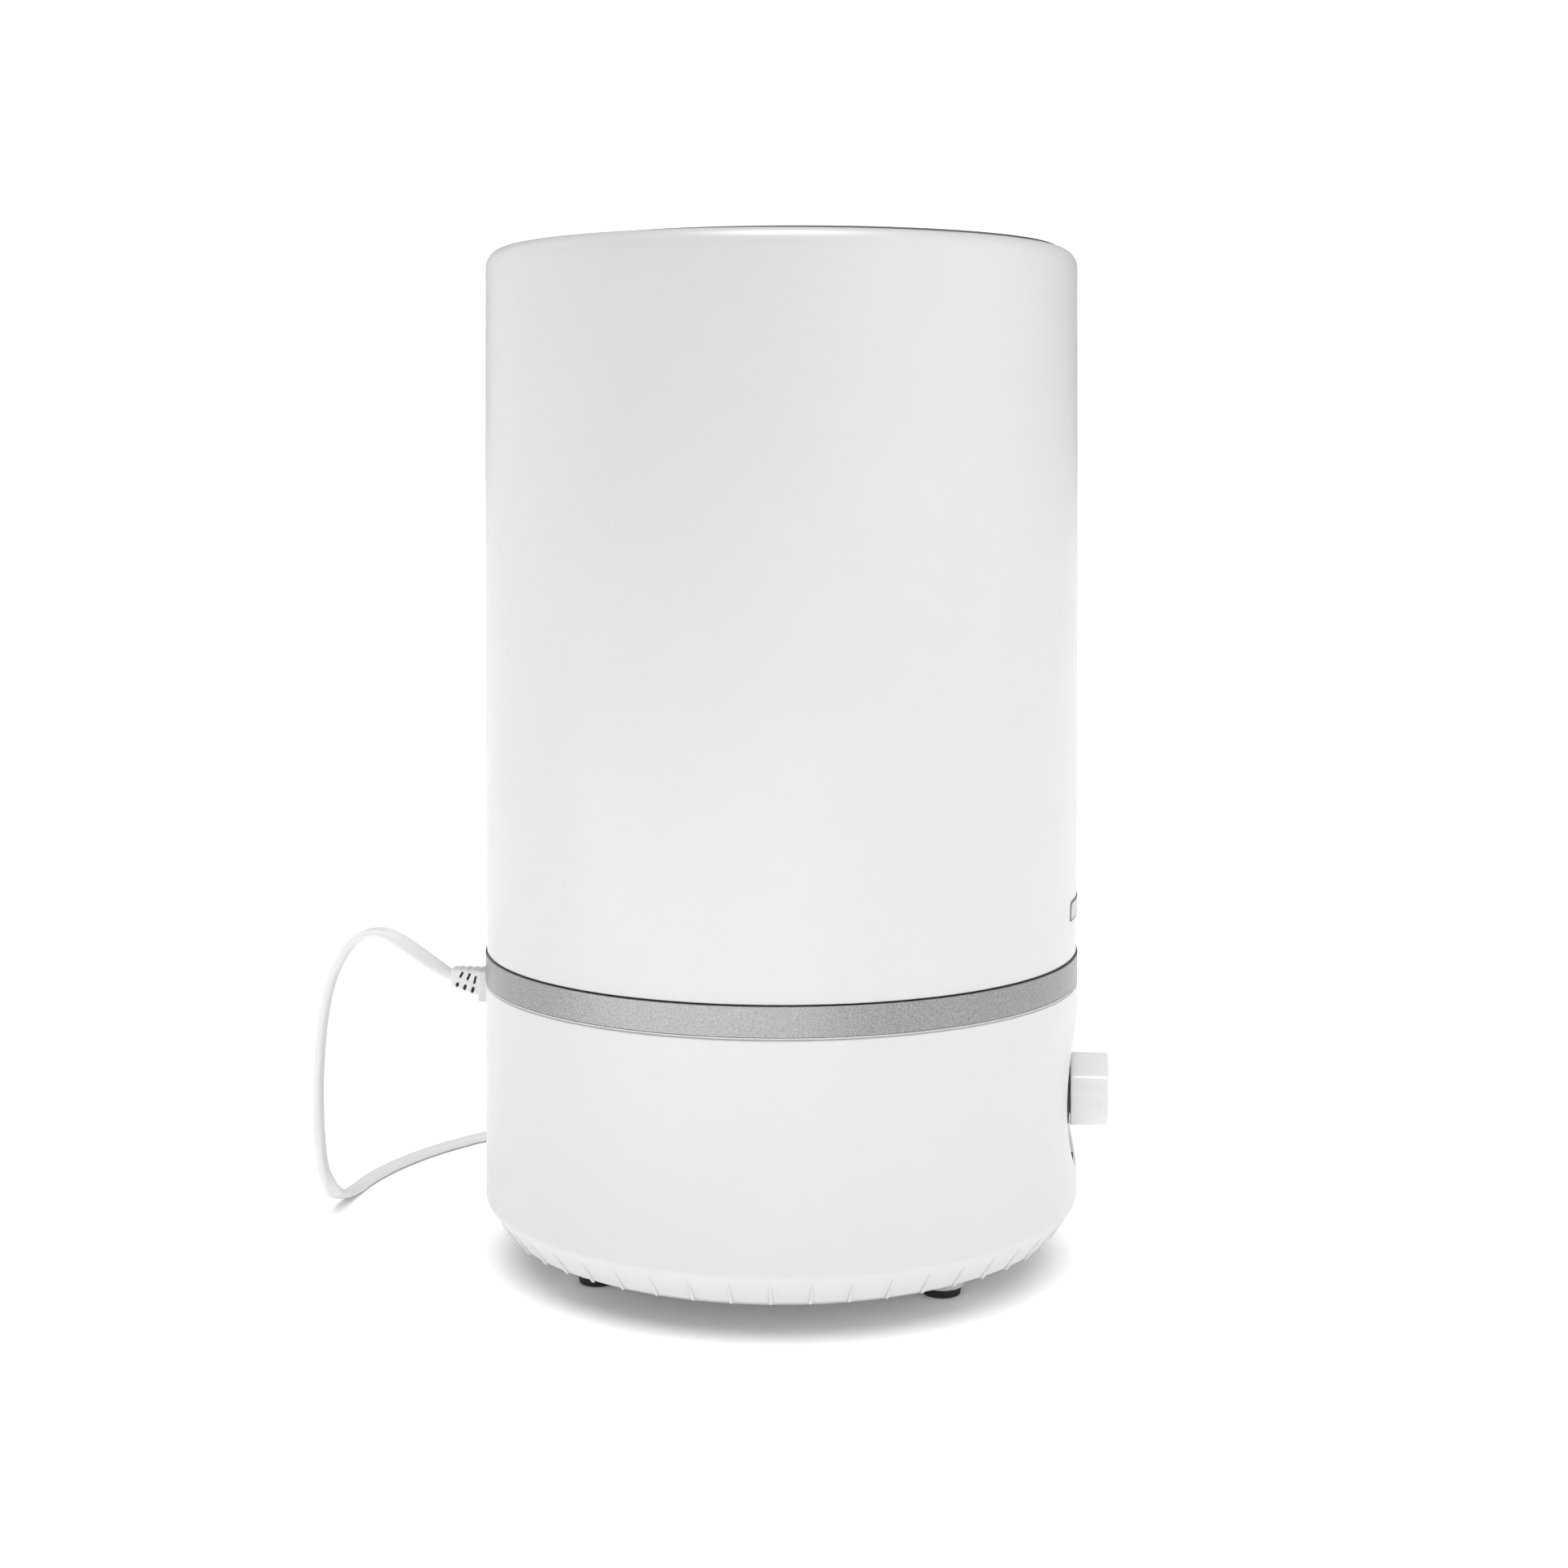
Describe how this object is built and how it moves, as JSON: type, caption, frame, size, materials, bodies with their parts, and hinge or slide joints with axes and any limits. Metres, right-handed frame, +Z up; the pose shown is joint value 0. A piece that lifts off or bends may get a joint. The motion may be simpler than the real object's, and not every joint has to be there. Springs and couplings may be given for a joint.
{
  "type": "cool mist humidifier",
  "caption": "Ultrasonic cool mist humidifier: round base with control knob and mist maker, lift-off water tank with inner chimney, lid with turning outlet.",
  "frame": {"origin": "on the table, under the middle of the round body", "axes": "+Z up; -Y is the front, where the knob is; +Y is the back, where the cord leaves"},
  "size_m": [0.2754, 0.2705, 0.3384],
  "materials": {
    "white_shell": "satin white moulding",
    "silver_trim": "silver grey with a fine metallic grain",
    "grey_cover": "grey, satin",
    "inner_plastic": "translucent off-white moulding",
    "black_rubber": "matt black",
    "seal_rubber": "grey silicone",
    "dark_trim": "dark grey, matt",
    "dark_lens": "smoked, glossy",
    "white_cord": "soft white cable plastic",
    "float_foam": "closed-cell foam",
    "fan_plastic": "black moulding",
    "circuit_board": "green board",
    "component_plastic": "dark moulded case",
    "heatsink_metal": "bare extrusion",
    "piezo_ceramic": "fired ceramic",
    "steel": "zinc plated",
    "brass": "bare metal"
  },
  "bodies": {
    "base": {"base_housing": "white_shell", "accent_band": "silver_trim", "water_basin": "inner_plastic", "bottom_cover": "white_shell", "foot_pad_1": "black_rubber", "foot_pad_2": "black_rubber", "foot_pad_3": "black_rubber", "foot_pad_4": "black_rubber", "cover_screw_1": "steel", "cover_screw_2": "steel", "cover_screw_3": "steel", "cover_screw_4": "steel", "transducer_disc": "piezo_ceramic", "transducer_seal": "seal_rubber", "transducer_retainer": "steel", "transducer_screw_1": "steel", "transducer_screw_2": "steel", "transducer_screw_3": "steel", "float_retainer": "inner_plastic", "fan_frame": "fan_plastic", "air_duct": "inner_plastic", "driver_board": "circuit_board", "board_screw_1": "steel", "board_screw_2": "steel", "board_screw_3": "steel", "board_screw_4": "steel", "heatsink": "heatsink_metal", "transformer": "component_plastic", "mains_capacitor": "component_plastic", "potentiometer": "steel", "pot_nut": "steel", "dial_ring": "dark_trim", "indicator_lens": "dark_lens", "mains_lead": "white_cord", "transducer_lead": "component_plastic", "fan_lead": "component_plastic", "control_lead": "component_plastic", "cord_gland": "white_cord", "cord_run": "white_cord", "cord_coil": "white_cord", "cord_tail": "white_cord", "cord_tie": "dark_trim", "plug_body": "white_cord", "plug_blade_1": "brass", "plug_blade_2": "brass"},
    "control": {"knob": "white_shell", "pot_shaft": "brass"},
    "impeller": {"fan_impeller": "fan_plastic"},
    "level_float": {"float": "float_foam"},
    "tank": {"tank_shell": "white_shell", "tank_floor": "inner_plastic", "mist_chimney": "inner_plastic", "front_badge": "silver_trim"},
    "cap": {"valve_cap": "inner_plastic", "cap_gasket": "black_rubber"},
    "valve": {"valve_plunger": "inner_plastic", "valve_seal": "black_rubber", "valve_spring": "steel"},
    "lid": {"top_cover": "grey_cover"},
    "nozzle": {"mist_nozzle": "grey_cover"}
  },
  "joints": [
    {"name": "tank_lift", "type": "slide", "parent": "base", "child": "tank", "axis": [0, 0, 1], "range_m": [0, 0.04]},
    {"name": "lid_lift", "type": "slide", "parent": "tank", "child": "lid", "axis": [0, 0, 1], "range_m": [0, 0.02]},
    {"name": "nozzle_turn", "type": "hinge", "parent": "lid", "child": "nozzle", "pos_m": [0, 0, 0.33], "axis": [0, 0, 1], "continuous": true},
    {"name": "knob_turn", "type": "hinge", "parent": "base", "child": "control", "pos_m": [0, -0.1, 0.056], "axis": [0, 1, 0], "range_deg": [0, 280]},
    {"name": "fan_spin", "type": "hinge", "parent": "base", "child": "impeller", "pos_m": [0.06, -0.008, 0.038], "axis": [0, 0, 1], "continuous": true},
    {"name": "float_rise", "type": "slide", "parent": "base", "child": "level_float", "axis": [0, 0, 1], "range_m": [0, 0.008]},
    {"name": "cap_unlock", "type": "hinge", "parent": "tank", "child": "cap", "pos_m": [0, 0.048, 0.09], "axis": [0, 0, 1], "range_deg": [0, 45]},
    {"name": "valve_lift", "type": "slide", "parent": "cap", "child": "valve", "axis": [0, 0, 1], "range_m": [0, 0.004], "stiffness_N_per_m": 80, "springref_m": -0.004, "deforming": ["valve_spring"]}
  ]
}
